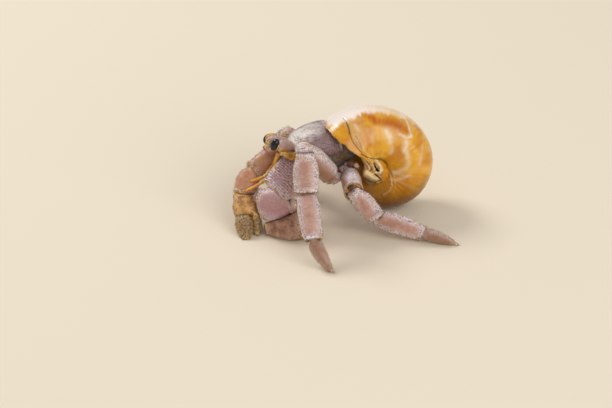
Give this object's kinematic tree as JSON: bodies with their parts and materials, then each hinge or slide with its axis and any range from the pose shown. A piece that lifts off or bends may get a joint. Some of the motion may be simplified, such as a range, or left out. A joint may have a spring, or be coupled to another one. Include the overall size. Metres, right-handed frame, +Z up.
{
  "type": "hermit crab",
  "caption": "Land hermit crab standing on its legs in a round moon-snail shell, with folded claws, stalked eyes and bent feelers.",
  "frame": {"origin": "on the floor, under the middle of the bounding box", "axes": "-X is where the crab heads, +Y is its right side and the longest extent, +Z is up and the shortest extent"},
  "size_m": [0.058, 0.0662, 0.0301],
  "materials": {
    "snail_shell": "glossy, worn",
    "leg_plate": "satin, finely grained",
    "claw_plate": "satin, scaly",
    "soft_skin": "matt, soft",
    "cornea": "glossy",
    "feeler": "satin"
  },
  "bodies": {
    "root": {"abdomen": "soft_skin", "left_antenna": "feeler", "left_antenna_base": "feeler", "left_antennule_base": "feeler", "left_antennule_tip": "feeler", "left_claw_carpus": "claw_plate", "left_claw_dactyl": "claw_plate", "left_claw_finger": "claw_plate", "left_claw_ischium": "claw_plate", "left_claw_merus": "claw_plate", "left_claw_palm": "claw_plate", "left_cornea": "cornea", "left_eyestalk": "leg_plate", "left_fourth_leg": "leg_plate", "left_jaw_leg": "leg_plate", "left_second_carpus": "leg_plate", "left_second_dactyl": "leg_plate", "left_second_ischium": "leg_plate", "left_second_merus": "leg_plate", "left_second_propodus": "leg_plate", "left_third_carpus": "leg_plate", "left_third_dactyl": "leg_plate", "left_third_ischium": "leg_plate", "left_third_merus": "leg_plate", "left_third_propodus": "leg_plate", "right_antenna": "feeler", "right_antenna_base": "feeler", "right_antennule_base": "feeler", "right_antennule_tip": "feeler", "right_claw_carpus": "claw_plate", "right_claw_dactyl": "claw_plate", "right_claw_finger": "claw_plate", "right_claw_ischium": "claw_plate", "right_claw_merus": "claw_plate", "right_claw_palm": "claw_plate", "right_cornea": "cornea", "right_eyestalk": "leg_plate", "right_fourth_leg": "leg_plate", "right_jaw_leg": "leg_plate", "right_second_carpus": "leg_plate", "right_second_dactyl": "leg_plate", "right_second_ischium": "leg_plate", "right_second_merus": "leg_plate", "right_second_propodus": "leg_plate", "right_third_carpus": "leg_plate", "right_third_dactyl": "leg_plate", "right_third_ischium": "leg_plate", "right_third_merus": "leg_plate", "right_third_propodus": "leg_plate", "shell": "snail_shell", "shield": "leg_plate", "soft_rear": "soft_skin", "trunk": "soft_skin"}
  },
  "joints": []
}
